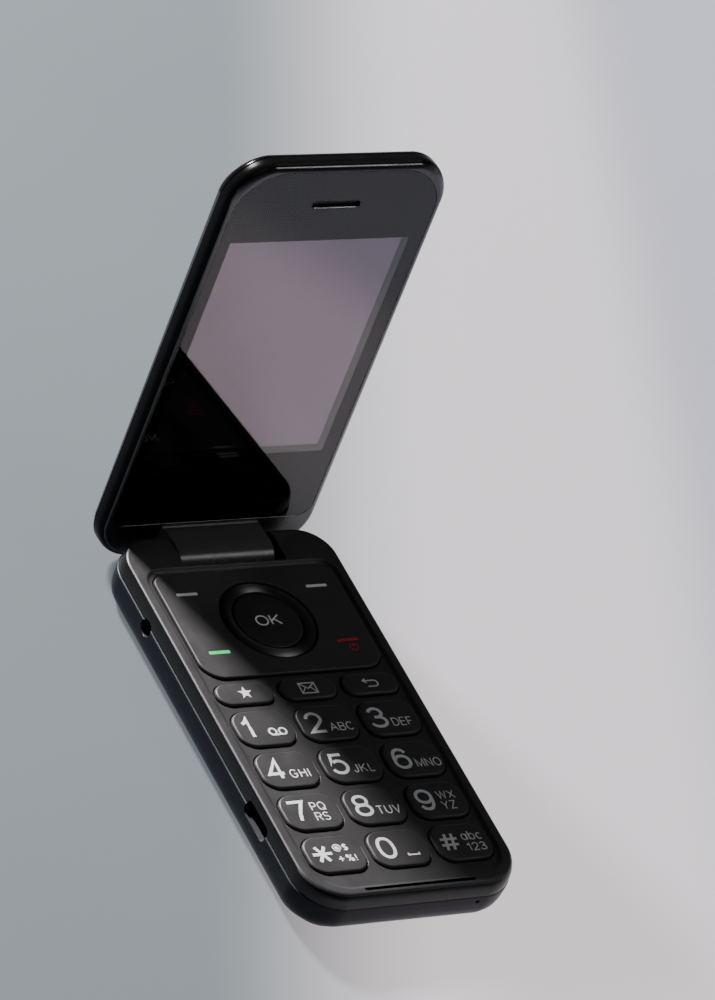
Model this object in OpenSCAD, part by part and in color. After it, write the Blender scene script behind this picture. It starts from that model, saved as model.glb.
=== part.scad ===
// Folding feature phone: a keypad half and a display half joined by a barrel hinge.
// Millimetres. The keypad half lies on its back on z = 0, centred on x = 0, with its
// hinge end towards +y. Folded, both halves are centred on y = 0. The display half stands open.

/* [Size] */
// Width of both halves
phone_w = 53; // [52:0.1:54]
// Length of both halves, folded
phone_l = 105; // [104.6:0.1:105.4]
// Overhang of the display half's tip over the keypad half's free end, folded
tip_overhang = 1.2; // [1:0.1:1.4]
// Thickness of the keypad half
base_t = 11.9; // [11.9:0.05:12.1]
// Thickness of the display half
lid_t = 6.62; // [6.6:0.02:7.6]
// Corner radius at the hinge end of the keypad half
hinge_corner_r = 9.5; // [9:0.5:10.5]
// Corner radius at the free end of the keypad half
free_corner_r = 9.5; // [9:0.5:10.5]
// Corner radius at the tip of the display half
tip_corner_r = 9; // [8.5:0.5:10]
// Corner radius at the hinge end of the display half
foot_corner_r = 9.5; // [9:0.5:10]
// Gap between the two halves when folded
fold_gap = 0.38; // [0.38:0.02:0.6]

/* [Hinge] */
// How far the display half stands open, from folded
open_angle = 94.7; // [0:0.1:159]
// Distance of the hinge axis from the hinge end
axis_in = 3.4; // [3.3:0.05:3.5]
// Height of the hinge axis above the back
axis_z = 5.85; // [5.8:0.05:5.9]
// Radius of the hinge barrel
barrel_r = 5.65; // [5.3:0.05:5.7]
// Width of the hinge barrel
barrel_w = 24.2; // [23:0.1:24.4]
// Radius of the hinge pins
pin_r = 1.9; // [1.7:0.05:1.95]

/* [Keypad] */
// Distance between key columns
pitch_x = 15.4; // [15.2:0.05:15.6]
// Distance between number key rows
pitch_y = 11.7; // [11.6:0.02:11.8]
// Width of a key cap
key_w = 13.7; // [13:0.1:13.9]
// Length of a number key cap
key_l = 9.85; // [9.5:0.05:10]
// Length of a function key cap
func_l = 6; // [5.6:0.1:6.2]
// Centre of the first number row
row1_y = -3.6; // [-3.7:0.05:-3.5]
// Centre of the function key row
func_y = 6.2; // [6.1:0.05:6.3]
// Height of the key tops above the back
key_top = 12; // [11.8:0.05:12]

/* [Navigation] */
// Centre of the four-way ring
nav_y = 26.1; // [26:0.05:26.2]
// Outer radius of the four-way ring
ring_r = 10.8; // [10.4:0.1:10.9]
// Radius of the centre button
ok_r = 7.85; // [7.4:0.05:7.9]

/* [Display] */
// Width of the visible window
window_w = 43.6; // [42:0.1:44]
// Length of the visible window
window_l = 57.4; // [56:0.1:58]
// Distance of the window from the hinge end
window_0 = 27; // [26.4:0.1:27.4]

/* [Hidden] */
$fn = 48;

half_w = phone_w / 2;
half_l = phone_l / 2;
free_y = -half_l + tip_overhang;     // free end of the keypad half
axis_y = half_l - axis_in;
part_z = base_t - 3.55;              // split between front housing and battery cover
floor_z = base_t - 0.6;              // sunk keypad field
plate_z = base_t - 1.7;              // underside of the keypad plate
swing_r = base_t - axis_z + 0.15;    // the hinge end stays inside this circle about the axis
face_z = -(base_t + fold_gap - axis_z); // face of the display half, in its own frame
lid_back = face_z - lid_t;
lid_part = face_z - 3.4;             // split between frame and rear shell
notch_w = barrel_w + 1;
notch_y = axis_y - barrel_r - 0.5;
jack_y = 30.2;
jack_z = 7.5;
usb_y = -25.1;
usb_z = 7.7;
mic_x = 15.2;
mic_z = 6.9;
window_c = window_0 + window_l / 2 - axis_in;
slot_y = 94.1 - axis_in;
lens_0 = 9.3 - axis_in;
lens_1 = 102.45 - axis_in;
panel_0 = 10.8;
panel_1 = 40.6;
panel_x = 22.2;
key_cols = [-1, 0, 1];
key_at = [for (r = [0:3]) for (c = key_cols) [c * pitch_x, row1_y - r * pitch_y]];
func_at = [for (c = key_cols) [c * pitch_x, func_y]];
panel_at = [[-16, 36.4], [16, 36.4], [-16, 17], [16, 17]];
ring_at = [for (a = [0:90:270]) [8.7 * cos(a), nav_y + 8.7 * sin(a)]];
nub_at = concat(key_at, func_at, panel_at, ring_at, [[0, nav_y]]);
base_screw_at = [[-20, -45.8], [20, -45.8], [-19.3, 45.1], [19.3, 45.1]];
lid_screw_at = [[-21.6, 9.3], [21.6, 9.3], [-21.2, 92], [21.2, 92]];

// ---- shared shapes -------------------------------------------------------

// Rectangle from (x0, y0) to (x1, y1), corner radius r0 at its low end and r1 at its high end
module rounded(x0, y0, x1, y1, r0, r1) {
  translate([x0, y0 + r0]) square([x1 - x0, y1 - y0 - r0 - r1]);
  translate([x0 + r0, y0]) square([x1 - x0 - 2 * r0, r0 + 0.5]);
  translate([x0 + r1, y1 - r1 - 0.5]) square([x1 - x0 - 2 * r1, r1 + 0.5]);
  for (x = [x0 + r0, x1 - r0]) translate([x, y0 + r0]) circle(r0);
  for (x = [x0 + r1, x1 - r1]) translate([x, y1 - r1]) circle(r1);
}

// Outline of the keypad half, moved in by d
module outline(d = 0) {
  rounded(-half_w + d, free_y + d, half_w - d, half_l - d, free_corner_r - d, hinge_corner_r - d);
}

module slab(z0, z1) { translate([0, 0, z0]) linear_extrude(z1 - z0) children(); }

// Boat-shaped solid from y0: a stack of outlines [z, inset], corner radius ra at -y and rb at +y
module boat(levels, ra, rb, y0) {
  hull() for (v = levels) for (x = [-1, 1]) {
    translate([x * (half_w - ra), y0 + ra, v[0]]) cylinder(r = ra - v[1], h = 0.01, $fn = 40);
    translate([x * (half_w - rb), half_l - rb, v[0]]) cylinder(r = rb - v[1], h = 0.01, $fn = 40);
  }
}

// Everything on the keypad half's hinge end keeps inside the swing circle
module within_swing() {
  intersection() {
    union() { children(); }
    union() {
      translate([-60, -80, -20]) cube([120, 80 + axis_y, 60]);
      translate([-60, axis_y, axis_z]) rotate([0, 90, 0]) cylinder(r = swing_r, h = 120, $fn = 96);
    }
  }
}
module barrel_notch() {
  translate([-notch_w / 2, notch_y, -10]) cube([notch_w, 40, 40]);
}
module along_x(x0, x1, r) { translate([x0, 0, 0]) rotate([0, 90, 0]) cylinder(r = r, h = x1 - x0); }

// The display half's own frame: origin on the hinge axis, +y to its tip, +z out of its face
module on_lid() { translate([0, axis_y, axis_z]) rotate([180 - open_angle, 0, 0]) children(); }
module lid_outline(d = 0) {
  translate([0, half_l - axis_in])
    rounded(-half_w + d, -half_l + d, half_w - d, half_l - d, foot_corner_r - d, tip_corner_r - d);
}

// ---- keypad half -----------------------------------------------------------

module base_front_housing() {
  color("#17171a") difference() {
    union() {
      within_swing() difference() {
        slab(part_z, base_t) outline();
        slab(part_z - 1, plate_z) rounded(-half_w + 1.3, free_y + 1.3, half_w - 1.3, notch_y - 1.3, free_corner_r - 1.3, 1);
        slab(floor_z, base_t + 1) rounded(-23.5, -48.4, 23.5, 42.2, 8, 4);
      }
      for (p = base_screw_at) if (p[1] < 0) translate([p[0], p[1], part_z]) cylinder(r = 1.6, h = plate_z - part_z + 0.2);
    }
    for (p = key_at) slab(part_z, base_t + 1) key_shape(p, key_l, 0.2);
    for (p = func_at) slab(part_z, base_t + 1) key_shape(p, func_l, 0.2);
    slab(part_z, base_t + 1) panel_shape(0.2);
    barrel_notch();
    for (p = base_screw_at) translate([p[0], p[1], part_z - 1]) cylinder(r = 0.75, h = 2.6);
    // audio jack mouth, port mouth
    translate([0, jack_y, jack_z]) along_x(-half_w - 1, -half_w + 3, 2.55);
    translate([-half_w - 1, usb_y - 4.6, usb_z - 1.6]) cube([4, 9.2, 3.8]);
    // finger lip at the free end
    translate([-13, -49.4, base_t - 0.7]) cube([26, 0.8, 2]);
  }
}

module key_shape(p, l, d) {
  r = (l > 8 ? 3.6 : 2.8) + d;
  rounded(p[0] - key_w / 2 - d, p[1] - l / 2 - d, p[0] + key_w / 2 + d, p[1] + l / 2 + d, r, r);
}
module panel_shape(d) { rounded(-panel_x - d, panel_0 - d, panel_x + d, panel_1 + d, 5 + d, 2.8 + d); }

module base_chassis() {
  color("#202024") difference() {
    union() {
      difference() {
        slab(1.2, part_z - 0.02) outline(2.6);
        slab(5, part_z + 1) rounded(-half_w + 3.6, free_y + 3.6, half_w - 3.6, notch_y - 1.2, free_corner_r - 3.6, 1);
        slab(0, 4.5) rounded(-half_w + 3.6, free_y + 3.6, half_w - 3.6, notch_y - 1.2, free_corner_r - 3.6, 1);
      }
      for (p = base_screw_at) if (p[1] < 0) translate([p[0], p[1], 1.2]) cylinder(r = 1.7, h = part_z - 1.22);
    }
    barrel_notch();
    // hinge bearings in the two shoulders
    translate([0, axis_y, axis_z]) along_x(-20, 20, pin_r + 0.05);
    // harness way out of the right-hand bearing
    translate([14.8, notch_y - 2, axis_z - 1.1]) cube([2.2, axis_y - notch_y + 2, 2.2]);
    for (p = base_screw_at) {
      translate([p[0], p[1], 0]) cylinder(r = 0.75, h = 20);
      translate([p[0], p[1], 0]) cylinder(r = 1.35, h = 3);
    }
    translate([0, jack_y, jack_z]) along_x(-half_w, -half_w + 6, 2.5);
    translate([-half_w - 1, jack_y - 3.1, 4.4]) translate([3.8, 0, 0]) cube([13, 6.2, 1]);
    translate([-half_w, usb_y - 3.8, usb_z - 1.3]) cube([8, 7.6, 2.6]);
    translate([mic_x, free_y - 1, mic_z]) rotate([-90, 0, 0]) cylinder(r = 0.5, h = 8);
    // contact window through the floor
    translate([-6, 17.2, 4]) cube([12, 4.2, 2]);
  }
}

module battery_cover() {
  color("#15161c") difference() {
    within_swing() difference() {
      boat([[0, 3.4], [0.5, 2.1], [1.5, 0.95], [3.2, 0.3], [part_z - 0.03, 0]], free_corner_r, hinge_corner_r, free_y);
      boat([[1, 4.2], [1.2, 2.4], [3, 1.25], [part_z + 1, 1]], free_corner_r, hinge_corner_r, free_y);
    }
    barrel_notch();
    translate([0, jack_y, jack_z]) along_x(-half_w - 1, -half_w + 3, 2.55);
    translate([-half_w - 1, usb_y - 4.6, usb_z - 1.6]) cube([4, 9.2, 3.8]);
    translate([mic_x, free_y - 1, mic_z]) rotate([-90, 0, 0]) cylinder(r = 0.5, h = 4);
    // sound slots under the loudspeaker
    for (i = [-2:2]) translate([16 + i * 2.2 - 0.5, 27, -1]) cube([1, 8, 3]);
  }
}

module battery() {
  color("#3b4652") translate([-20.5, -33, 1.15]) cube([41, 49, 3.2]);
}

module main_board() {
  color("#1d5c3a") difference() {
    translate([-22.4, -43.6, 6.6]) cube([44.8, 84.4, 0.8]);
    translate([-23, jack_y - 3.2, 6]) cube([12.6, 6.4, 2]);
    translate([-23, usb_y - 4, 6]) cube([4.6, 8, 2]);
  }
}

module shield_cans() {
  color("#b9bcc0") for (p = [[-14, -12, 26, 20], [-8, -40, 26, 22]]) difference() {
    translate([p[0], p[1], 5.3]) cube([p[2], p[3], 1.28]);
    translate([p[0] + 0.2, p[1] + 0.2, 5.5]) cube([p[2] - 0.4, p[3] - 0.4, 2]);
  }
}

module dome_sheet() {
  color("#c9c5b4") {
    difference() {
      translate([-21.9, -43.4, 7.42]) cube([43.8, 83.7, 0.1]);
      translate([-23, jack_y - 3.4, 7]) cube([12.8, 6.8, 2]);
      translate([-23, usb_y - 4.2, 7]) cube([4.8, 8.4, 2]);
    }
    for (p = concat(key_at, func_at, panel_at, [[0, nav_y]])) translate([p[0], p[1], 7.5]) cylinder(r = 1.9, h = 0.25);
    for (p = ring_at) translate([p[0], p[1], 7.5]) cylinder(r = 1.1, h = 0.25);
  }
}

module keypad_web() {
  color("#4a4a50") difference() {
    translate([-22.2, -43.9, 8.4]) cube([44.4, 84.7, 0.5]);
    for (p = nub_at) translate([p[0], p[1], 8]) cylinder(r = 1.7, h = 2);
    translate([-23, jack_y - 3.4, 8]) cube([12.8, 6.8, 2]);
    translate([-23, usb_y - 4.2, 8]) cube([4.8, 8.4, 2]);
  }
}

module audio_jack() {
  color("#26262a") translate([0, jack_y, jack_z]) difference() {
    union() {
      translate([-half_w + 3.7, -3, -2.4]) cube([11.9, 6, 4.8]);
      along_x(-half_w, -half_w + 5, 2.4);
    }
    along_x(-half_w - 1, -half_w + 15.2, 1.8);
  }
}

module usb_socket() {
  color("#a9acb0") translate([-half_w + 2, usb_y, usb_z]) {
    difference() {
      translate([0, -3.7, -1.2]) cube([5.6, 7.4, 2.4]);
      translate([-1, -3.45, -0.95]) cube([6.2, 6.9, 1.9]);
    }
    translate([1, -1.9, -0.3]) cube([4.3, 3.8, 0.6]);
  }
}

module microphone() {
  color("#8c8f94") translate([mic_x - 2, free_y + 3.8, 6.6]) cube([4, 3, 1.5]);
}

module loudspeaker() {
  color("#2c2c30") {
    translate([9.6, 24.6, 1.3]) cube([12.8, 12.8, 2.6]);
    translate([16, 31, 3.8]) cylinder(r = 4, h = 0.6);
  }
}

module vibration_motor() {
  color("#9a9da1") translate([3, -41, 2.75]) {
    along_x(0, 8, 1.6);
    along_x(7.9, 9.2, 0.4);
    rotate([-20, 0, 0]) intersection() {
      along_x(9, 12, 1.5);
      translate([8, -2, -2]) cube([5, 4, 2.3]);
    }
  }
}

module sim_reader() {
  color("#b4b7ba") difference() {
    translate([-9, 23.5, 2.9]) cube([15, 13.5, 1.5]);
    translate([-8.5, 23, 3.2]) cube([14, 12.5, 0.9]);
  }
}

module battery_contacts() {
  color("#c9a85a") for (x = [-4, 0, 4]) translate([x - 0.8, 16.2, 1.9]) {
    cube([1.6, 1, 2.4]);
    translate([0, 1.4, 2]) cube([1.6, 2.2, 2.6]);
    translate([0, 0.5, 2]) cube([1.6, 1.4, 0.4]);
  }
}

module antenna() {
  color("#b07c3c") difference() {
    translate([-18, -46.4, 1.6]) cube([14, 5.4, 2.6]);
    translate([-17, -47, 2.2]) cube([12, 4, 3]);
  }
}

module base_screws() {
  color("#8f9296") for (p = base_screw_at) {
    translate([p[0], p[1], 1.9]) difference() {
      cylinder(r = 1.25, h = 1.08);
      translate([0, 0, -0.1]) cylinder(r = 0.5, h = 0.6, $fn = 6);
    }
    translate([p[0], p[1], 2.9]) cylinder(r = 0.7, h = 6.6);
  }
}

module harness_connector() {
  color("#d8d4c6") {
    translate([12.9, 37.2, 5.2]) cube([6, 3, 1.35]);
    translate([15.9, 40, axis_z]) rotate([-90, 0, 0]) cylinder(r = 0.6, h = axis_y - 41);
  }
}

// ---- keys ----------------------------------------------------------------

module key_solid(p, l) {
  slab(plate_z + 0.0, key_top) key_shape(p, l, 0);
  slab(plate_z - 0.7, plate_z - 0.1) key_shape(p, l, 0.35);
  slab(plate_z - 0.2, plate_z + 0.1) key_shape(p, l, -0.3);
  translate([p[0], p[1], 8.2]) cylinder(r = 1.2, h = plate_z - 0.6 - 8.2);
}
module number_key(i) { color("#1b1b1e") key_solid(key_at[i], key_l); }
module function_key(i) { color("#1b1b1e") key_solid(func_at[i], func_l); }

module nav_panel() {
  color("#161618") {
    difference() {
      slab(10.6, base_t + 0.05) panel_shape(0);
      translate([0, nav_y, 0]) cylinder(r = ring_r + 0.3, h = 40, $fn = 96);
    }
    for (p = panel_at) translate([p[0], p[1], 8.25]) cylinder(r = 1.2, h = 2.4);
  }
}

module panel_fulcrum() {
  color("#4a4a50") for (s = [-1, 1]) translate([-0.7, nav_y + s * 12.7 - 1, 9.7]) cube([1.4, 2, 0.8]);
}

module nav_ring() {
  color("#101012") {
    translate([0, nav_y, 0]) rotate_extrude($fn = 96)
      polygon([[ok_r + 0.25, 10.4], [ring_r, 10.4], [ring_r, 11.45], [ring_r - 0.4, 11.86],
               [ring_r - 0.8, 11.9], [ok_r + 0.5, 11.3], [ok_r + 0.25, 11.3]]);
    for (p = ring_at) translate([p[0], p[1], 8.3]) cylinder(r = 0.6, h = 2.2);
  }
}

module ring_fulcrum() {
  color("#4a4a50") for (s = [-1, 1]) translate([-0.45, nav_y + s * 10.05 - 0.45, 9.6]) cube([0.9, 0.9, 0.7]);
}

module ok_button() {
  color("#141416") {
    translate([0, nav_y, 10.3]) cylinder(r = ok_r, h = 1.45, $fn = 96);
    translate([0, nav_y, 8.25]) cylinder(r = 1.2, h = 2.2);
  }
}

// ---- display half --------------------------------------------------------

module lens_outline(d) { rounded(-24.75 - d, lens_0 - d, 24.75 + d, lens_1 + d, 3.5 + d, 8 + d); }
module slot_shape(l, w) {
  translate([-(l - w) / 2, slot_y - w / 2]) square([l - w, w]);
  for (x = [-1, 1]) translate([x * (l - w) / 2, slot_y]) circle(w / 2);
}

module lid_front_frame() {
  color("#141416") on_lid() difference() {
    union() {
      difference() {
        slab(lid_part, face_z) lid_outline();
        slab(lid_part - 1, face_z - 2) translate([0, half_l - axis_in])
          rounded(-half_w + 1.2, -half_l + 8, half_w - 1.2, half_l - 1.2, 2, tip_corner_r - 1.2);
        slab(face_z - 1.05, face_z + 1) lens_outline(0.1);
        translate([-window_w / 2 - 0.8, window_c - window_l / 2 - 0.8, lid_part - 1]) cube([window_w + 1.6, window_l + 1.6, 10]);
        slab(lid_part - 1, face_z) slot_shape(11.6, 1.4);
        translate([-6.6, slot_y - 1.5, face_z - 1.5]) cube([13.2, 3, 1]);
      }
      for (p = lid_screw_at) translate([p[0], p[1], lid_part]) cylinder(r = 1.6, h = 1.6);
    }
    // harness channel
    translate([4.8, -1.1, lid_part - 1]) cube([2.2, 2.2, -lid_part + 1]);
    for (p = lid_screw_at) translate([p[0], p[1], lid_part - 1]) cylinder(r = 0.75, h = 20);
    for (p = lid_screw_at) translate([p[0], p[1], face_z - 1.6]) cylinder(r = 1.3, h = 20);
  }
}

// Barrel with the neck that stands it off the face of the display half
module hinge_knuckle() {
  color("#141416") on_lid() difference() {
    union() {
      translate([-barrel_w / 2, -axis_in + 0.4, face_z + 0.02]) cube([barrel_w, barrel_r + axis_in - 0.4, -face_z - 0.02]);
      along_x(-barrel_w / 2, barrel_w / 2, barrel_r);
    }
    // the barrel's round stays off the face
    translate([-40, -40, face_z - 20]) cube([80, 80, 20.02]);
    along_x(-barrel_w / 2 - 1, -1.9, 3);
    along_x(2, barrel_w / 2 + 1, pin_r + 0.02);
    translate([4.8, -1.1, face_z - 1]) cube([2.2, 2.2, -face_z + 1]);
  }
}

module lid_boat(levels) {
  translate([0, half_l - axis_in]) mirror([0, 0, 1]) boat(levels, foot_corner_r, tip_corner_r, -half_l);
}
module lid_rear_shell() {
  color("#0c0c0e") on_lid() difference() {
    union() {
      difference() {
        lid_boat([[-lid_part + 0.02, 0], [-lid_part + 1.2, 0.25], [-lid_part + 2.2, 1], [-lid_back - 0.35, 2.2], [-lid_back - 0.01, 3.4]]);
        lid_boat([[-lid_part - 1, 1.2], [-lid_part + 1.6, 1.5], [-lid_part + 2.1, 2.4], [-lid_back - 1, 3.6]]);
      }
      for (p = lid_screw_at) translate([p[0], p[1], lid_back + 0.6]) cylinder(r = 1.6, h = lid_part - lid_back - 0.62);
    }
    for (p = lid_screw_at) translate([p[0], p[1], lid_back + 1.1]) cylinder(r = 0.75, h = 20);
    translate([-14, slot_y - 1, lid_back - 1]) cylinder(r = 4.1, h = 1.85);
    translate([-14, slot_y - 1, lid_back - 1]) cylinder(r = 2.4, h = 4);
  }
}

module display_lens() {
  color("#1a1a1e", 0.6) on_lid() difference() {
    slab(face_z - 1, face_z) lens_outline(0);
    slab(face_z - 2, face_z + 1) slot_shape(11.6, 1.4);
  }
}

module lcd_panel() {
  color("#5a555a") on_lid() translate([-23.6, window_c - window_l / 2 - 5.4, face_z - 3.1])
    cube([47.2, window_l + 8.4, 1]);
}
module backlight() {
  color("#e4e4e0") on_lid() translate([-23.4, window_c - window_l / 2 - 5.2, face_z - 4.6])
    cube([46.8, window_l + 8, 1.45]);
}
module lid_board() {
  color("#1d5c3a") on_lid() difference() {
    translate([-20, 8, face_z - 5.2]) cube([40, 76, 0.5]);
    for (p = lid_screw_at) translate([p[0], p[1], -40]) cylinder(r = 1.8, h = 60);
  }
}
module earpiece() {
  color("#2c2c30") on_lid() translate([-6, slot_y - 2.6, face_z - 5]) cube([12, 6.4, 2.9]);
}
module earpiece_mesh() {
  color("#3c3c40") on_lid() difference() {
    translate([-6.4, slot_y - 1.3, face_z - 1.45]) cube([12.8, 2.6, 0.35]);
    for (i = [-10:10]) translate([i * 0.5, slot_y, face_z - 2]) cylinder(r = 0.15, h = 2, $fn = 16);
  }
}
module camera_module() {
  color("#2c2c30") on_lid() {
    translate([-17.2, slot_y - 4.2, face_z - 5.1]) cube([6.4, 6.4, 2.9]);
    translate([-14, slot_y - 1, face_z - 5.7]) cylinder(r = 2.2, h = 1);
  }
}
module camera_window() {
  color("#0a0a0c") on_lid() translate([-14, slot_y - 1, lid_back + 0.02]) cylinder(r = 4, h = 0.8);
}
module closing_magnet() {
  color("#9a9da1") on_lid() translate([-24.3, 12.4, face_z - 3.3]) cube([2.2, 5, 1.2]);
}
module lid_screws() {
  color("#8f9296") on_lid() for (p = lid_screw_at) {
    translate([p[0], p[1], face_z - 1.58]) difference() {
      cylinder(r = 1.2, h = 0.5);
      translate([0, 0, 0.2]) cylinder(r = 0.5, h = 1, $fn = 6);
    }
    translate([p[0], p[1], lid_back + 1.3]) cylinder(r = 0.7, h = lid_t - 2.8);
  }
}

// ---- hinge ---------------------------------------------------------------

module hinge_module() {
  color("#a7aaae") on_lid() {
    along_x(-barrel_w / 2 + 0.1, -2, 2.95);
    along_x(-16.8, -barrel_w / 2 + 0.2, pin_r);
  }
}
module hinge_pin() {
  color("#b9bcc0") on_lid() difference() {
    along_x(8, 14.6, pin_r);
    along_x(0, 30, 1.2);
  }
}
module hinge_harness() {
  color("#2f2f33") on_lid() {
    along_x(5.2, 16.6, 0.7);
    translate([5.9, 0, lid_part - 0.6]) cylinder(r = 0.7, h = -lid_part + 0.6);
  }
}

base_front_housing();
base_chassis();
battery_cover();
battery();
main_board();
shield_cans();
dome_sheet();
keypad_web();
audio_jack();
usb_socket();
microphone();
loudspeaker();
vibration_motor();
sim_reader();
battery_contacts();
antenna();
base_screws();
harness_connector();
number_key(0);  // key_1
number_key(1);  // key_2
number_key(2);  // key_3
number_key(3);  // key_4
number_key(4);  // key_5
number_key(5);  // key_6
number_key(6);  // key_7
number_key(7);  // key_8
number_key(8);  // key_9
number_key(9);  // key_star
number_key(10);  // key_0
number_key(11);  // key_hash
function_key(0);  // key_favourites
function_key(1);  // key_messages
function_key(2);  // key_back
nav_panel();
panel_fulcrum();
nav_ring();
ring_fulcrum();
ok_button();
lid_front_frame();
hinge_knuckle();
lid_rear_shell();
display_lens();
lcd_panel();
backlight();
lid_board();
earpiece();
earpiece_mesh();
camera_module();
camera_window();
closing_magnet();
lid_screws();
hinge_module();
hinge_pin();
hinge_harness();
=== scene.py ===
import math

import bmesh
import bpy
from mathutils import Matrix, Vector
from mathutils.geometry import delaunay_2d_cdt


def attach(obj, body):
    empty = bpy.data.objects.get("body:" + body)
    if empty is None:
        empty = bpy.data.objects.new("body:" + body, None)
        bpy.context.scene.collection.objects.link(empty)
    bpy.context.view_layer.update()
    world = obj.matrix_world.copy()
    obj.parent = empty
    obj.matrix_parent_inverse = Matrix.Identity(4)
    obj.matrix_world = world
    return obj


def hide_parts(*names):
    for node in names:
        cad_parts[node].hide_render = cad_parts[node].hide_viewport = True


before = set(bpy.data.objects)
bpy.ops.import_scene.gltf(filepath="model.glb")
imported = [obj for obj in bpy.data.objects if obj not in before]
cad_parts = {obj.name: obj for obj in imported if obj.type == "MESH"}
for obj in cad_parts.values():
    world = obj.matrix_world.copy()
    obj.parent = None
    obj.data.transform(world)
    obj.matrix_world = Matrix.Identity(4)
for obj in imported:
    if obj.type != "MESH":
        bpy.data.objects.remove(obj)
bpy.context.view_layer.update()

# ------------------------------------------------------------------ sizes, mm
HW, HL = 26.5, 52.5            # half width, hinge end
FREE = 51.3                    # free end of the keypad half
RF, RH = 9.5, 8.8              # its corner radii, free end and hinge end
TIP, RT, RB = 101.58, 9.0, 9.5  # tip of the display half, corner radii at tip and foot
BASE_T = 11.9                  # keypad half
PART_Z = 8.35                  # split of the keypad half
FLOOR_Z = 11.3                 # sunk keypad field
PLATE_Z = 10.2
KEY_TOP = 12.0
AX_Y, AX_Z = 49.1, 5.85        # hinge axis
SWING = 6.15
FACE = -6.43                   # face of the display half in its own frame
LID_PART = FACE - 3.4
LID_BACK = FACE - 6.62
OPEN = 94.7
BAR_R, BAR_HW = 5.65, 12.1
NAV_Y, RING_R, OK_R = 26.1, 10.8, 7.85
PX, PY = 15.4, 11.7
KEY_W, KEY_L, FUN_L = 13.7, 9.85, 6.0
ROW1, FUN_Y = -3.6, 6.2
WIN_HW, WIN_0, WIN_1 = 21.8, 23.6, 81.0     # window, in the display half's frame
SLOT_Y = 90.7
JACK_Y, JACK_Z = 30.2, 7.5
USB_Y, USB_Z = -25.1, 7.7
MIC_X, MIC_Z = 15.2, 6.9

LID = Matrix.Translation((0, AX_Y, AX_Z)) @ Matrix.Rotation(math.radians(180 - OPEN), 4, "X")
MM = Matrix.Scale(0.001, 4)

# ------------------------------------------------------------------ mesh tools


def rrect(x0, y0, x1, y1, r0, r1, n=12):
    """Rounded rectangle, counter-clockwise; r0 at the low end and r1 at the high end."""
    out = []
    for cx, cy, r, a in (
        (x0 + r0, y0 + r0, r0, 180),
        (x1 - r0, y0 + r0, r0, 270),
        (x1 - r1, y1 - r1, r1, 0),
        (x0 + r1, y1 - r1, r1, 90),
    ):
        for i in range(n + 1):
            t = math.radians(a + 90 * i / n)
            out.append((cx + r * math.cos(t), cy + r * math.sin(t)))
    return out


def inset_rr(x0, y0, x1, y1, r0, r1, d, n=12, least=0.25):
    return rrect(x0 + d, y0 + d, x1 - d, y1 - d, max(r0 - d, least), max(r1 - d, least), n)


def outline4(hw, y0, y1, r0, r1, d, e0, e1, n=20):
    """Rounded rectangle about x = 0 with fixed corner centres: moved in by d at the sides, e0 at the low end, e1 at the high end."""
    out = []
    for cx, cy, rx, ry, a in (
        (-hw + r0, y0 + r0, r0 - d, r0 - e0, 180),
        (hw - r0, y0 + r0, r0 - d, r0 - e0, 270),
        (hw - r1, y1 - r1, r1 - d, r1 - e1, 0),
        (-hw + r1, y1 - r1, r1 - d, r1 - e1, 90),
    ):
        for i in range(n + 1):
            t = math.radians(a + 90 * i / n)
            out.append((cx + rx * math.cos(t), cy + ry * math.sin(t)))
    return out


def at_z(pts, z):
    return [(x, y, z) for x, y in pts]


def circle(cx, cy, r, n=64, start=0.0):
    return [(cx + r * math.cos(start + 2 * math.pi * i / n), cy + r * math.sin(start + 2 * math.pi * i / n)) for i in range(n)]


def loft(rings, caps=True):
    """Closed skin through rings of equal count."""
    n = len(rings[0])
    verts = [p for r in rings for p in r]
    faces = []
    for k in range(len(rings) - 1):
        a, b = k * n, (k + 1) * n
        for i in range(n):
            j = (i + 1) % n
            faces.append((a + i, a + j, b + j, b + i))
    if caps:
        faces.append(tuple(reversed(range(n))))
        last = (len(rings) - 1) * n
        faces.append(tuple(range(last, last + n)))
    return verts, faces


def join(*parts):
    verts, faces = [], []
    for v, f in parts:
        o = len(verts)
        verts += v
        faces += [tuple(i + o for i in q) for q in f]
    return verts, faces


def box(x0, y0, z0, x1, y1, z1):
    return loft([at_z([(x0, y0), (x1, y0), (x1, y1), (x0, y1)], z0), at_z([(x0, y0), (x1, y0), (x1, y1), (x0, y1)], z1)])


def lathe(profile, cx, cy, n=96):
    """Solid of revolution about z from a closed (r, z) profile that stays off the axis."""
    m = len(profile)
    verts, faces = [], []
    for i in range(n):
        a = 2 * math.pi * i / n
        for r, z in profile:
            verts.append((cx + r * math.cos(a), cy + r * math.sin(a), z))
    for i in range(n):
        j = (i + 1) % n
        for k in range(m):
            l = (k + 1) % m
            faces.append((i * m + k, j * m + k, j * m + l, i * m + l))
    return verts, faces


def turned(profile, cx, cy, n=96):
    """Turned solid whose profile runs from the axis at the bottom to the axis at the top."""
    rings = [at_z(circle(cx, cy, max(r, 0.02), n), z) for r, z in profile]
    return loft(rings)


def along_x(profile_r, cy, cz, n=48):
    """Turned solid about an x-parallel axis: (x, r) pairs."""
    rings = []
    for x, r in profile_r:
        rings.append([(x, cy + r * math.cos(2 * math.pi * i / n), cz + r * math.sin(2 * math.pi * i / n)) for i in range(n)])
    return loft(rings)


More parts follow.
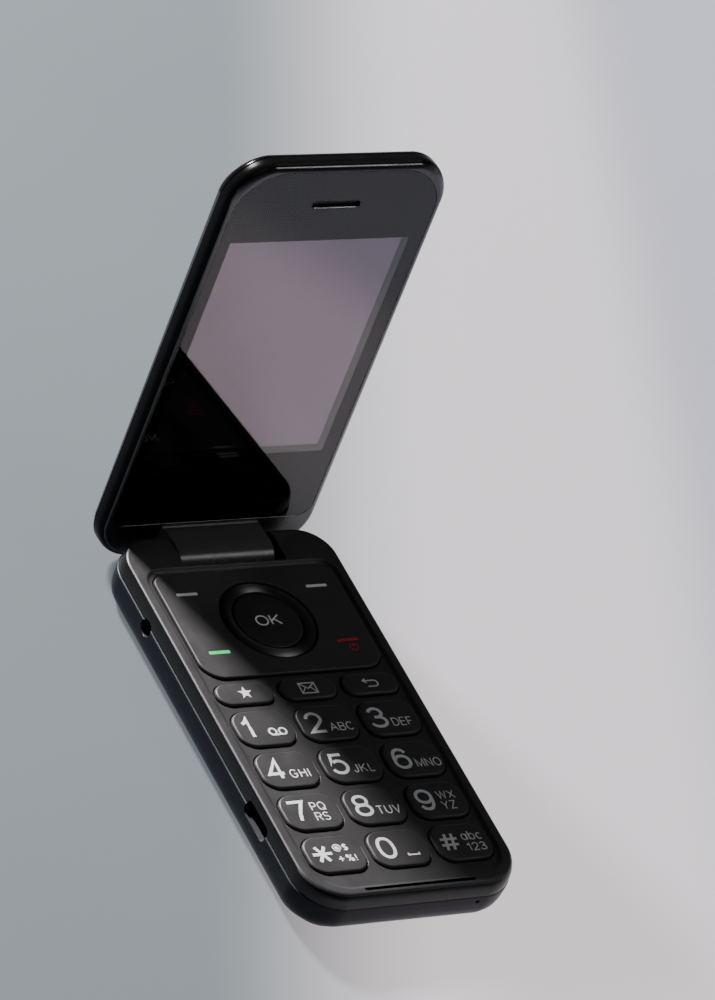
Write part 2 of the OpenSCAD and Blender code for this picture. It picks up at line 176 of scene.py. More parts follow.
def offset_poly(pts, d):
    """Moves a closed counter-clockwise outline inwards by d."""
    n = len(pts)
    out = []
    for i in range(n):
        p0, p1, p2 = Vector(pts[i - 1]), Vector(pts[i]), Vector(pts[(i + 1) % n])
        e0, e1 = (p1 - p0).normalized(), (p2 - p1).normalized()
        n0, n1 = Vector((-e0.y, e0.x)), Vector((-e1.y, e1.x))
        m = n0 + n1
        if m.length < 1e-6:
            m = n0.copy()
        m.normalize()
        k = d / max(m.dot(n0), 0.4)
        out.append(tuple(p1 + m * k))
    return out


def to_mesh(name, vf, xf=None):
    verts, faces = vf
    me = bpy.data.meshes.new(name)
    me.from_pydata([tuple(v) for v in verts], [], faces)
    bm = bmesh.new()
    bm.from_mesh(me)
    bmesh.ops.remove_doubles(bm, verts=bm.verts, dist=1e-4)
    bmesh.ops.recalc_face_normals(bm, faces=bm.faces)
    bm.to_mesh(me)
    bm.free()
    if xf is not None:
        me.transform(xf)
    me.update()
    return me


def cut(me, cutters, op="DIFFERENCE"):
    """Boolean of a mesh (mm) with a list of solids; returns a new mesh."""
    ob = bpy.data.objects.new("tmp_body", me)
    bpy.context.scene.collection.objects.link(ob)
    for vf in cutters:
        cm = vf if isinstance(vf, bpy.types.Mesh) else to_mesh("tmp_cut", vf)
        co = bpy.data.objects.new("tmp_cut", cm)
        bpy.context.scene.collection.objects.link(co)
        mod = ob.modifiers.new("b", "BOOLEAN")
        mod.operation = op
        mod.solver = "EXACT"
        mod.object = co
        dg = bpy.context.evaluated_depsgraph_get()
        new = bpy.data.meshes.new_from_object(ob.evaluated_get(dg))
        ob.modifiers.clear()
        old = ob.data
        ob.data = new
        bpy.data.meshes.remove(old)
        bpy.data.objects.remove(co)
        bpy.data.meshes.remove(cm)
    out = ob.data.copy()
    bpy.data.objects.remove(ob)
    bm = bmesh.new()
    bm.from_mesh(out)
    bmesh.ops.remove_doubles(bm, verts=bm.verts, dist=2e-4)
    bmesh.ops.dissolve_degenerate(bm, edges=bm.edges, dist=1e-4)
    bm.to_mesh(out)
    bm.free()
    return out


def piece(name, source, mat, body, nodes=(), xf=None, angle=32, weighted=True, second=None):
    """Finishes a mesh in mm into a piece in metres that rides on a body."""
    me = source if isinstance(source, bpy.types.Mesh) else to_mesh(name, source)
    if xf is not None:
        me.transform(xf)
    me.transform(MM)
    me.name = name
    me.materials.clear()
    me.materials.append(mat)
    me.polygons.foreach_set("use_smooth", [True] * len(me.polygons))
    me.polygons.foreach_set("material_index", [0] * len(me.polygons))
    if second:
        me.materials.append(second[0])
        for f in me.polygons:
            if f.normal.dot(Vector(second[1])) < second[2]:
                f.material_index = 1
    me.set_sharp_from_angle(angle=math.radians(angle))
    ob = bpy.data.objects.new(name, me)
    bpy.context.scene.collection.objects.link(ob)
    if weighted:
        mod = ob.modifiers.new("w", "WEIGHTED_NORMAL")
        mod.keep_sharp = True
        dg = bpy.context.evaluated_depsgraph_get()
        new = bpy.data.meshes.new_from_object(ob.evaluated_get(dg))
        ob.modifiers.clear()
        ob.data = new
        bpy.data.meshes.remove(me)
        new.name = name
    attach(ob, body)
    if nodes:
        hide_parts(*nodes)
    return ob


# ------------------------------------------------------------------ materials


def nodes_of(name):
    m = bpy.data.materials.new(name)
    m.use_nodes = True
    nt = m.node_tree
    bsdf = nt.nodes["Principled BSDF"]
    co = nt.nodes.new("ShaderNodeTexCoord")
    return m, nt, bsdf, co


def noise(nt, co, scale, detail=2.0, rough=0.5):
    t = nt.nodes.new("ShaderNodeTexNoise")
    t.inputs["Scale"].default_value = scale
    t.inputs["Detail"].default_value = detail
    t.inputs["Roughness"].default_value = rough
    nt.links.new(co.outputs["Object"], t.inputs["Vector"])
    return t


def ramp(nt, src, a, b, lo=0.3, hi=0.7):
    r = nt.nodes.new("ShaderNodeValToRGB")
    r.color_ramp.elements[0].position = lo
    r.color_ramp.elements[1].position = hi
    r.color_ramp.elements[0].color = (*a, 1)
    r.color_ramp.elements[1].color = (*b, 1)
    nt.links.new(src, r.inputs["Fac"])
    return r


def spread(nt, src, lo, hi):
    r = nt.nodes.new("ShaderNodeMapRange")
    r.inputs["From Min"].default_value = 0.3
    r.inputs["From Max"].default_value = 0.7
    r.inputs["To Min"].default_value = lo
    r.inputs["To Max"].default_value = hi
    nt.links.new(src, r.inputs["Value"])
    return r


def bump(nt, src, bsdf, strength, distance):
    b = nt.nodes.new("ShaderNodeBump")
    b.inputs["Strength"].default_value = strength
    b.inputs["Distance"].default_value = distance
    nt.links.new(src, b.inputs["Height"])
    nt.links.new(b.outputs["Normal"], bsdf.inputs["Normal"])
    return b


def plastic(name, col, rough, grain=5200.0, grain_h=0.000012, var=0.10, coat=0.0, coat_rough=0.1, spec=0.5, rough_var=0.06):
    """Moulded plastic: fine spark texture, cloudy roughness and a little colour drift."""
    m, nt, bsdf, co = nodes_of(name)
    cloud = noise(nt, co, 160.0, 4.0, 0.6)
    fine = noise(nt, co, grain, 2.0, 0.55)
    lo = tuple(c * (1 - var) for c in col)
    hi = tuple(c * (1 + var) for c in col)
    r = ramp(nt, cloud.outputs["Fac"], lo, hi)
    nt.links.new(r.outputs["Color"], bsdf.inputs["Base Color"])
    s = spread(nt, cloud.outputs["Fac"], rough - rough_var, rough + rough_var)
    nt.links.new(s.outputs["Result"], bsdf.inputs["Roughness"])
    if grain_h:
        bump(nt, fine.outputs["Fac"], bsdf, 0.6, grain_h)
    bsdf.inputs["Specular IOR Level"].default_value = spec
    if coat:
        bsdf.inputs["Coat Weight"].default_value = coat
        bsdf.inputs["Coat Roughness"].default_value = coat_rough
    return m


def metal(name, col, rough, grain=900.0):
    m, nt, bsdf, co = nodes_of(name)
    mp = nt.nodes.new("ShaderNodeMapping")
    mp.inputs["Scale"].default_value = (1, 14, 14)
    nt.links.new(co.outputs["Object"], mp.inputs["Vector"])
    t = nt.nodes.new("ShaderNodeTexNoise")
    t.inputs["Scale"].default_value = grain
    t.inputs["Detail"].default_value = 3.0
    nt.links.new(mp.outputs["Vector"], t.inputs["Vector"])
    r = ramp(nt, t.outputs["Fac"], tuple(c * 0.85 for c in col), tuple(min(c * 1.1, 1) for c in col))
    nt.links.new(r.outputs["Color"], bsdf.inputs["Base Color"])
    s = spread(nt, t.outputs["Fac"], rough * 0.8, rough * 1.25)
    nt.links.new(s.outputs["Result"], bsdf.inputs["Roughness"])
    bsdf.inputs["Metallic"].default_value = 1.0
    return m


def ink(name, col, rough=0.45, painted_glow=None, painted_glow_strength=0.0):
    m, nt, bsdf, co = nodes_of(name)
    t = noise(nt, co, 2600.0, 3.0, 0.6)
    r = ramp(nt, t.outputs["Fac"], tuple(c * 0.86 for c in col), col)
    nt.links.new(r.outputs["Color"], bsdf.inputs["Base Color"])
    bsdf.inputs["Roughness"].default_value = rough
    # Painted glow: the ink emits a little light of its own, lifting the print where it lies in shade.
    if painted_glow:
        bsdf.inputs["Emission Color"].default_value = (*painted_glow, 1.0)
        bsdf.inputs["Emission Strength"].default_value = painted_glow_strength
    return m


M_HOUSING = plastic("housing_plastic", (0.0385, 0.0366, 0.0388), 0.44)
# Darker, glossier copy of the housing plastic for faces turned away from up (sides, free end, hole walls): painted
# shade.
M_HOUSING_SHADED = plastic("housing_side_painted_shade", (0.0050, 0.0049, 0.0054), 0.28, grain_h=0.000003, spec=0.3)
# Dark navy cover plastic; part of its blue stands in for a reflected blue surrounding: painted reflection.
M_COVER = plastic("cover_plastic", (0.0068, 0.0078, 0.0138), 0.34, grain_h=0.000004, spec=0.10)
# Lighter copy of the cover plastic for its upward faces (parting ledge, port bevels): painted highlight.
M_COVER_LIT = plastic("cover_painted_highlight", (0.030, 0.031, 0.036), 0.36, grain_h=0.0, spec=0.22)
M_KEY = plastic("key_plastic", (0.037, 0.0352, 0.037), 0.46, grain_h=0.000010)
M_PANEL = plastic("panel_plastic", (0.0425, 0.0405, 0.0425), 0.46, grain_h=0.000010)
M_RING = plastic("ring_plastic", (0.003, 0.003, 0.0033), 0.31, grain_h=0.0, spec=1.0, rough_var=0.02)
nt = M_RING.node_tree
tg = nt.nodes.new("ShaderNodeTangent")
tg.direction_type = "RADIAL"
tg.axis = "Z"
spun = nt.nodes["Principled BSDF"]
nt.links.new(tg.outputs["Tangent"], spun.inputs["Tangent"])
spun.inputs["Anisotropic"].default_value = 0.9
spun.inputs["Anisotropic Rotation"].default_value = 0.25
spun.inputs["IOR"].default_value = 1.72
M_OK = plastic("ok_plastic", (0.022, 0.021, 0.022), 0.42, grain_h=0.000008)
# Knuckle plastic made lighter than the other black mouldings to lift it in the lid's shadow: painted light. Its upward
# faces get a still lighter, matte copy: painted light on the top.
M_KNUCKLE = plastic("knuckle_plastic", (0.085, 0.080, 0.085), 0.27, grain_h=0.0, var=0.04, rough_var=0.01)
M_KNUCKLE_TOP_LIT = plastic("knuckle_top_painted_light", (0.125, 0.117, 0.125), 0.5, grain_h=0.0, var=0.04, spec=0.03, rough_var=0.02)
# Lit and shaded copies of the lid frame plastic: a lighter, glossier copy on the front rim and bevel (painted
# highlight) and a darker copy with almost no reflection on the sides (painted shade).
M_RIM_LIT = plastic("lid_rim_painted_highlight", (0.012, 0.0115, 0.012), 0.24, grain_h=0.000003, spec=0.75)
M_FRAME_SHADED = plastic("lid_frame_painted_shade", (0.004, 0.004, 0.0044), 0.22, grain_h=0.0, spec=0.05)
M_SHELL = plastic("lid_shell_gloss", (0.003, 0.003, 0.0034), 0.14, grain_h=0.0, rough_var=0.03, spec=0.15)
M_DARK = plastic("dark_moulding", (0.010, 0.010, 0.011), 0.5)
M_PRINT = plastic("lens_ink", (0.0012, 0.0012, 0.0016), 0.9, grain_h=0.0, spec=0.0, rough_var=0.05)
M_SILICONE = plastic("silicone", (0.07, 0.07, 0.075), 0.6)
M_STEEL = metal("plated_steel", (0.52, 0.53, 0.54), 0.3)
M_PORT = metal("port_shell", (0.07, 0.07, 0.075), 0.4)
M_BRASS = metal("plated_brass", (0.70, 0.50, 0.22), 0.28)
M_BOARD = plastic("solder_mask", (0.012, 0.07, 0.03), 0.35)
M_FILM = plastic("dome_film", (0.62, 0.58, 0.48), 0.4)
M_CELL = plastic("cell_wrap", (0.06, 0.075, 0.095), 0.4)
M_CONN = plastic("connector_ivory", (0.6, 0.57, 0.5), 0.5)
# Every legend ink carries a painted glow; the soft-key, OK and call marks glow most.
M_WHITE = ink("legend_white", (0.88, 0.88, 0.89), painted_glow=(1.0, 1.0, 1.02), painted_glow_strength=0.02)
M_PALE = ink("legend_pale", (0.60, 0.60, 0.61), painted_glow=(1.0, 1.0, 1.02), painted_glow_strength=0.10)
M_GLOW_INK = ink("legend_painted_glow", (0.70, 0.70, 0.71), painted_glow=(1.0, 0.99, 1.02), painted_glow_strength=0.085)
M_RED = ink("legend_red", (0.80, 0.02, 0.03), painted_glow=(1.0, 0.03, 0.06), painted_glow_strength=0.02)
M_GREEN = ink("legend_green", (0.004, 0.36, 0.05), painted_glow=(0.08, 1.0, 0.32), painted_glow_strength=0.76)


def glass(name, tint, rough):
    m, nt, bsdf, co = nodes_of(name)
    t = noise(nt, co, 60.0, 2.0)
    s = spread(nt, t.outputs["Fac"], rough * 0.5, rough * 1.5)
    nt.links.new(s.outputs["Result"], bsdf.inputs["Roughness"])
    bsdf.inputs["Base Color"].default_value = (*tint, 1)
    bsdf.inputs["Transmission Weight"].default_value = 1.0
    bsdf.inputs["IOR"].default_value = 1.5
    return m


M_GLASS = glass("lens_glass", (0.97, 0.97, 0.98), 0.01)
M_CAMGLASS = glass("camera_glass", (0.55, 0.57, 0.62), 0.01)


def screen(name, col, rough):
    """Switched-off screen under its polariser: a dim grey mirror with a faint mottle in colour and roughness."""
    m, nt, bsdf, co = nodes_of(name)
    t = noise(nt, co, 45.0, 2.0)
    r = ramp(nt, t.outputs["Fac"], tuple(c * 0.94 for c in col), tuple(c * 1.04 for c in col))
    nt.links.new(r.outputs["Color"], bsdf.inputs["Base Color"])
    s = spread(nt, t.outputs["Fac"], rough * 0.8, rough * 1.2)
    nt.links.new(s.outputs["Result"], bsdf.inputs["Roughness"])
    bsdf.inputs["Metallic"].default_value = 1.0
    return m


M_LCD = screen("screen_active", (0.114, 0.076, 0.106), 0.028)
M_LCDB = screen("screen_border", (0.078, 0.056, 0.076), 0.04)

# ------------------------------------------------------------------ legends

ARC = lambda cx, cy, rx, ry, a0, a1, n=16: [
    (cx + rx * math.cos(math.radians(a0 + (a1 - a0) * i / n)), cy + ry * math.sin(math.radians(a0 + (a1 - a0) * i / n)))
    for i in range(n + 1)
]


def oval(cx, cy, rx, ry, p=2.3, n=36):
    out = []
    for i in range(n):
        t = 2 * math.pi * i / n
        c, s = math.cos(t), math.sin(t)
        out.append((cx + rx * math.copysign(abs(c) ** (2 / p), c), cy + ry * math.copysign(abs(s) ** (2 / p), s)))
    return out


# Skeletons in a unit box: (width over height, [(points, closed)])
G = {
    "0": (0.70, [(oval(0.5, 0.5, 0.5, 0.5), True)]),
    "1": (0.42, [([(0.0, 0.74), (0.45, 0.82), (0.86, 1.0), (0.86, 0.0)], False)]),
    "2": (0.70, [(ARC(0.5, 0.70, 0.48, 0.30, 172, -22) + [(0.66, 0.38), (0.24, 0.14), (0.03, 0.0), (1.0, 0.0)], False)]),
    "3": (0.70, [(ARC(0.47, 0.755, 0.44, 0.245, 165, -90), False), (ARC(0.47, 0.265, 0.53, 0.265, 90, -165), False), ([(0.30, 0.52), (0.50, 0.52)], False)]),
    "4": (0.74, [([(0.74, 0.0), (0.74, 1.0), (0.0, 0.26), (1.0, 0.26)], False)]),
    "5": (0.70, [([(0.92, 1.0), (0.19, 1.0)] + ARC(0.48, 0.33, 0.52, 0.33, 146, -160), False)]),
    "6": (0.70, [(oval(0.5, 0.32, 0.5, 0.32, 2.1), True), ([(0.0, 0.34), (0.01, 0.55), (0.09, 0.79), (0.26, 0.95), (0.52, 1.0), (0.78, 0.95), (0.94, 0.80)], False)]),
    "7": (0.70, [([(0.0, 1.0), (1.0, 1.0), (0.74, 0.66), (0.53, 0.33), (0.42, 0.0)], False)]),
    "8": (0.70, [(oval(0.5, 0.755, 0.43, 0.245, 2.1), True), (oval(0.5, 0.265, 0.5, 0.265, 2.1), True)]),
    "9": (0.70, [(oval(0.5, 0.68, 0.5, 0.32, 2.1), True), ([(1.0, 0.66), (0.99, 0.45), (0.91, 0.21), (0.74, 0.05), (0.48, 0.0), (0.22, 0.05), (0.06, 0.20)], False)]),
    "A": (0.84, [([(0.0, 0.0), (0.5, 1.0), (1.0, 0.0)], False), ([(0.19, 0.36), (0.81, 0.36)], False)]),
    "B": (0.68, [([(0.0, 0.0), (0.0, 1.0), (0.55, 1.0)] + ARC(0.55, 0.765, 0.38, 0.235, 90, -90, 10) + [(0.0, 0.53)], False), ([(0.0, 0.0), (0.6, 0.0)] + ARC(0.6, 0.265, 0.4, 0.265, -90, 90, 10) + [(0.0, 0.53)], False)]),
    "C": (0.76, [(ARC(0.52, 0.5, 0.52, 0.5, 42, 318, 26), False)]),
    "D": (0.72, [([(0.0, 0.0), (0.0, 1.0), (0.45, 1.0)] + ARC(0.45, 0.5, 0.55, 0.5, 90, -90, 18) + [(0.0, 0.0)], False)]),
    "E": (0.62, [([(1.0, 1.0), (0.0, 1.0), (0.0, 0.0), (1.0, 0.0)], False), ([(0.0, 0.53), (0.92, 0.53)], False)]),
    "F": (0.58, [([(1.0, 1.0), (0.0, 1.0), (0.0, 0.0)], False), ([(0.0, 0.50), (0.88, 0.50)], False)]),
    "G": (0.80, [(ARC(0.5, 0.5, 0.5, 0.5, 42, 330, 26) + [(0.97, 0.47), (0.55, 0.47)], False)]),
    "H": (0.70, [([(0.0, 0.0), (0.0, 1.0)], False), ([(1.0, 0.0), (1.0, 1.0)], False), ([(0.0, 0.53), (1.0, 0.53)], False)]),
    "I": (0.14, [([(0.5, 0.0), (0.5, 1.0)], False)]),
    "J": (0.50, [([(1.0, 1.0), (1.0, 0.3)] + ARC(0.5, 0.3, 0.5, 0.3, 0, -170, 12), False)]),
    "K": (0.72, [([(0.0, 0.0), (0.0, 1.0)], False), ([(0.95, 1.0), (0.0, 0.36)], False), ([(0.34, 0.60), (1.0, 0.0)], False)]),
    "L": (0.56, [([(0.0, 1.0), (0.0, 0.0), (1.0, 0.0)], False)]),
    "M": (0.86, [([(0.0, 0.0), (0.0, 1.0), (0.5, 0.06), (1.0, 1.0), (1.0, 0.0)], False)]),
    "N": (0.72, [([(0.0, 0.0), (0.0, 1.0), (1.0, 0.0), (1.0, 1.0)], False)]),
    "O": (0.82, [(oval(0.5, 0.5, 0.5, 0.5, 2.1), True)]),
    "P": (0.64, [([(0.0, 0.0), (0.0, 1.0), (0.6, 1.0)] + ARC(0.6, 0.73, 0.4, 0.27, 90, -90, 12) + [(0.0, 0.46)], False)]),
    "Q": (0.82, [(oval(0.5, 0.5, 0.5, 0.5, 2.1), True), ([(0.60, 0.28), (0.98, -0.04)], False)]),
    "R": (0.70, [([(0.0, 0.0), (0.0, 1.0), (0.6, 1.0)] + ARC(0.6, 0.745, 0.38, 0.255, 90, -90, 12) + [(0.0, 0.49)], False), ([(0.55, 0.49), (0.98, 0.0)], False)]),
    "S": (0.68, [(ARC(0.5, 0.745, 0.46, 0.255, 30, 262, 16) + ARC(0.5, 0.255, 0.5, 0.255, 82, -150, 16), False)]),
    "T": (0.68, [([(0.0, 1.0), (1.0, 1.0)], False), ([(0.5, 1.0), (0.5, 0.0)], False)]),
    "U": (0.70, [([(0.0, 1.0), (0.0, 0.38)] + ARC(0.5, 0.38, 0.5, 0.38, 180, 360, 16) + [(1.0, 1.0)], False)]),
    "V": (0.78, [([(0.0, 1.0), (0.5, 0.0), (1.0, 1.0)], False)]),
    "W": (1.08, [([(0.0, 1.0), (0.26, 0.0), (0.5, 0.95), (0.74, 0.0), (1.0, 1.0)], False)]),
    "X": (0.76, [([(0.0, 0.0), (1.0, 1.0)], False), ([(0.0, 1.0), (1.0, 0.0)], False)]),
    "Y": (0.76, [([(0.0, 1.0), (0.5, 0.44), (1.0, 1.0)], False), ([(0.5, 0.44), (0.5, 0.0)], False)]),
    "Z": (0.68, [([(0.0, 1.0), (1.0, 1.0), (0.0, 0.0), (1.0, 0.0)], False)]),
    "a": (0.60, [(oval(0.45, 0.35, 0.45, 0.35, 2.1), True), ([(1.0, 0.70), (1.0, 0.0)], False)]),
    "b": (0.60, [([(0.0, 1.0), (0.0, 0.0)], False), (oval(0.52, 0.35, 0.48, 0.35, 2.1), True)]),
    "c": (0.54, [(ARC(0.52, 0.35, 0.52, 0.35, 45, 315, 20), False)]),
    "+": (0.80, [([(0.0, 0.45), (1.0, 0.45)], False), ([(0.5, 0.05), (0.5, 0.85)], False)]),
    "%": (0.95, [(oval(0.2, 0.78, 0.19, 0.2, 2.0, 18), True), (oval(0.8, 0.22, 0.19, 0.2, 2.0, 18), True), ([(0.2, 0.0), (0.8, 1.0)], False)]),
    "!": (0.16, [([(0.5, 0.32), (0.5, 1.0)], False), ([(0.5, 0.0), (0.5, 0.16)], False)]),
    "@": (1.0, [(ARC(0.5, 0.48, 0.5, 0.5, 300, -20, 28) + ARC(0.83, 0.36, 0.17, 0.12, -20, -190, 8), False), (oval(0.48, 0.48, 0.2, 0.22, 2.0, 20), True)]),
    "$": (0.62, [(ARC(0.5, 0.70, 0.46, 0.20, 30, 262, 14) + ARC(0.5, 0.30, 0.5, 0.20, 82, -150, 14), False), ([(0.5, 1.0), (0.5, 0.0)], False)]),
    "#": (0.92, [([(0.22, 0.0), (0.42, 1.0)], False), ([(0.60, 0.0), (0.80, 1.0)], False), ([(0.04, 0.68), (1.0, 0.68)], False), ([(0.0, 0.32), (0.96, 0.32)], False)]),
    "*": (1.0, [([(0.0, 0.5), (1.0, 0.5)], False), ([(0.25, 0.067), (0.75, 0.933)], False), ([(0.25, 0.933), (0.75, 0.067)], False)]),
}


def strip(points, width, closed):
    """Quads of a stroke of that width."""
    pts = [Vector(p) for p in points]
    clean = [pts[0]]
    for p in pts[1:]:
        if (p - clean[-1]).length > 1e-4:
            clean.append(p)
    if closed and (clean[0] - clean[-1]).length < 1e-4:
        clean.pop()
    pts = clean
    n = len(pts)
    h = width / 2
    sides = []
    for i in range(n):
        if closed or 0 < i < n - 1:
            e0 = (pts[i] - pts[i - 1]).normalized()
            e1 = (pts[(i + 1) % n] - pts[i]).normalized()
        elif i == 0:
            e0 = e1 = (pts[1] - pts[0]).normalized()
        else:
            e0 = e1 = (pts[-1] - pts[-2]).normalized()
        n0, n1 = Vector((-e0.y, e0.x)), Vector((-e1.y, e1.x))
        m = n0 + n1
        if m.length < 0.35:
            m = n0.copy()
        m.normalize()
        k = h / max(m.dot(n0), 0.42)
        sides.append((pts[i] + m * k, pts[i] - m * k))
    quads = []
    for i in range(n if closed else n - 1):
        j = (i + 1) % n
        quads.append([sides[i][0], sides[i][1], sides[j][1], sides[j][0]])
    return quads


def glyph(ch, x, y, w, h, stroke):
    """Polygons of a glyph inside the box x, y, w, h."""
    out = []
    for pts, closed in G[ch][1]:
        mapped = [(x + stroke / 2 + px * (w - stroke), y + stroke / 2 + py * (h - stroke)) for px, py in pts]
        out += strip(mapped, stroke, closed)
    return out


def word(text, x, y, h, stroke, gap=0.12, wide=1.0):
    out = []
    for ch in text:
        w = max(G[ch][0] * h * wide, stroke)
        out += glyph(ch, x, y, w, h, stroke)
        x += w + gap * h
    return out


def printed(name, polys, zfun, mat, body, up=0.022, sunk=0.06):
    """Flat polygons in mm merged into one thin solid that follows the surface zfun."""
    co, fa = [], []
    for q in polys:
        o = len(co)
        co += [Vector((p[0], p[1])) for p in q]
        fa.append(list(range(o, o + len(q))))
    v, e, f, ov, oe, of_ = delaunay_2d_cdt(co, [], fa, 1, 1e-5)
    keep = [tuple(t) for t, src in zip(f, of_) if src]
    used = sorted({i for t in keep for i in t})
    index = {k: i for i, k in enumerate(used)}
    n = len(used)
    verts = [(v[k].x, v[k].y, zfun(v[k].x, v[k].y) + up) for k in used]
    verts += [(v[k].x, v[k].y, zfun(v[k].x, v[k].y) - sunk) for k in used]
    faces, count = [], {}
    for t in keep:
        a, b, c = (index[i] for i in t)
        faces.append((a, b, c))
        faces.append((n + c, n + b, n + a))
        for p, q in ((a, b), (b, c), (c, a)):
            count[(p, q)] = 1
    for p, q in list(count):
        if (q, p) not in count:
            faces.append((q, p, n + p, n + q))
    return piece(name, (verts, faces), mat, body, angle=30, weighted=False)


# ------------------------------------------------------------------ keypad half


def bowed(pts, bow_free=1.0, bow_hinge=0.0):
    """The two ends are slightly arched."""
    out = []
    for p in pts:
        x, y = p[0], p[1]
        t = max(0.0, min(1.0, (abs(y) - 30) / 22.5))
        t = t * t * (3 - 2 * t)
        y2 = y + (bow_free if y < 0 else -bow_hinge) * (x / HW) ** 2 * t
        out.append((x, y2) + tuple(p[2:]))
    return out


def base_ring(d, z, e=None, n=20):
    """One outline of the keypad half; its hinge end keeps inside the swing circle."""
    e = d if e is None else e
    pts = bowed(outline4(HW, -FREE, HL, RF + 0.6 * max(0.0, e - 0.4), RH, d, e, d, n))
    out = []
    for x, y in pts:
        zz = z
        if y > AX_Y:
            r = math.hypot(y - AX_Y, z - AX_Z)
            if r > SWING:
                y = AX_Y + (y - AX_Y) * SWING / r
                zz = AX_Z + (z - AX_Z) * SWING / r
        out.append((x, y, zz))
    return out


def flared(rings_fn, z_low, z_top, lip=0.15, steps=4):
    """Cutter with a rounded mouth: rings_fn(d) gives the outline moved out by d."""
    rings = [at_z(rings_fn(0.0), z_low), at_z(rings_fn(0.0), z_top - lip)]
    for i in range(1, steps + 1):
        t = math.pi / 2 * i / steps
        rings.append(at_z(rings_fn(lip * (1 - math.cos(t))), z_top - lip + lip * math.sin(t)))
    rings.append(at_z(rings_fn(lip + 0.02), z_top + 0.4))
    return loft(rings)


KEYS = [
    ("key_1", -1, 0), ("key_2", 0, 0), ("key_3", 1, 0),
    ("key_4", -1, 1), ("key_5", 0, 1), ("key_6", 1, 1),
    ("key_7", -1, 2), ("key_8", 0, 2), ("key_9", 1, 2),
    ("key_star", -1, 3), ("key_0", 0, 3), ("key_hash", 1, 3),
]
FUNS = [("key_favourites", -1), ("key_messages", 0), ("key_back", 1)]
KEY_AT = {k: (c * PX, ROW1 - r * PY, KEY_L, 3.6) for k, c, r in KEYS}
KEY_AT.update({k: (c * PX, FUN_Y, FUN_L, 2.85) for k, c in FUNS})


def key_outline(name, d, n=10):
    cx, cy, l, r = KEY_AT[name]
    return inset_rr(cx - KEY_W / 2, cy - l / 2, cx + KEY_W / 2, cy + l / 2, r, r, d, n)


def key_top(name):
    cx, cy, l, r = KEY_AT[name]
    drop = 0.16 if l > 8 else 0.10

    def z(x, y):
        u, v = (x - cx) / (KEY_W / 2), (y - cy) / (l / 2)
        return KEY_TOP - drop * (0.55 * u * u + 0.45 * v * v)

    return z


def rim_ring(d, z):
    return at_z(bowed(inset_rr(-23.5, -48.4, 23.5, 42.4, 8.0, 4.0, d, 16), 0.8, 0.0), z)


# front housing
side = [(8.37, 0.37, 0.16), (8.42, 0.32, 0.10), (8.52, 0.30, 0.08), (9.4, 0.29, 0.13), (10.3, 0.34, 0.32), (11.0, 0.50, 0.65), (11.4, 0.68, 0.92),
        (11.62, 0.84, 1.1), (11.74, 0.96, 1.24), (11.83, 1.10, 1.4), (11.88, 1.27, 1.58), (11.9, 1.5, 1.85)]
housing = to_mesh("base_front_housing", loft([base_ring(d, z, e) for z, d, e in side]))
recess = loft([rim_ring(0.98, FLOOR_Z), rim_ring(0.72, FLOOR_Z + 0.03), rim_ring(0.47, FLOOR_Z + 0.13), rim_ring(0.27, FLOOR_Z + 0.28),
               rim_ring(0.1, FLOOR_Z + 0.46), rim_ring(-0.08, FLOOR_Z + 0.56), rim_ring(-0.32, FLOOR_Z + 0.605), rim_ring(-0.34, FLOOR_Z + 1.2)])
inner = loft([at_z(bowed(inset_rr(-HW, -FREE, HW, 41.9, RF, 2.4, 1.4, 12)), z) for z in (8.0, PLATE_Z)])
holes = [flared(lambda d, k=k: key_outline(k, -0.2 - d), 8.0, FLOOR_Z) for k in KEY_AT]
panel_out = lambda d, n=14: inset_rr(-22.2, 10.8, 22.2, 40.6, 5.0, 2.8, d, n)
holes.append(flared(lambda d: panel_out(-0.2 - d), 8.0, FLOOR_Z))
notch = flared(lambda d: rrect(-12.6 - d, 43.1 - d, 12.6 + d, 70, 0.7, 0.7, 6), -2.0, BASE_T, lip=0.3)


def jack_hole(r_in, x0=-30.0, x1=-22.0):
    return along_x([(x0, r_in + 0.32), (-26.75, r_in + 0.32), (-26.45, r_in + 0.12), (-26.2, r_in), (x1, r_in)], JACK_Y, JACK_Z)


def usb_ring(x, dy0, dy1, z0, z1, r=1.2, n=6):
    pts = rrect(USB_Y - 4.6 - dy0, USB_Z + z0, USB_Y + 4.6 + dy1, USB_Z + z1, r, r, n)
    return [(x, y, z) for y, z in pts]


usb_cut = loft([usb_ring(-29.0, 0.3, 0.3, -2.2, 2.4), usb_ring(-26.5, 0.12, 0.12, -1.42, 2.22), usb_ring(-24.9, 0.0, 0.0, -0.98, 2.15), usb_ring(-20.0, 0.0, 0.0, -0.98, 2.15)])
lip = loft([at_z(rrect(-13.2, -49.05, 13.6, -48.35, 0.3, 0.3, 4), BASE_T - 1.0), at_z(rrect(-13.2, -49.05, 13.6, -48.35, 0.3, 0.3, 4), BASE_T - 0.15),
            at_z(rrect(-13.4, -49.2, 13.8, -48.2, 0.4, 0.4, 4), BASE_T + 0.6)])
housing = cut(housing, [recess, inner, join(*holes), notch, jack_hole(1.85), usb_cut, lip])
# Faces turned more than about 53 degrees from up take the darker copy: painted shade on the sides and in the key and
# panel holes.
piece("base_front_housing", housing, M_HOUSING, "base", ["base_front_housing"], second=(M_HOUSING_SHADED, (0, 0, 1), 0.6))

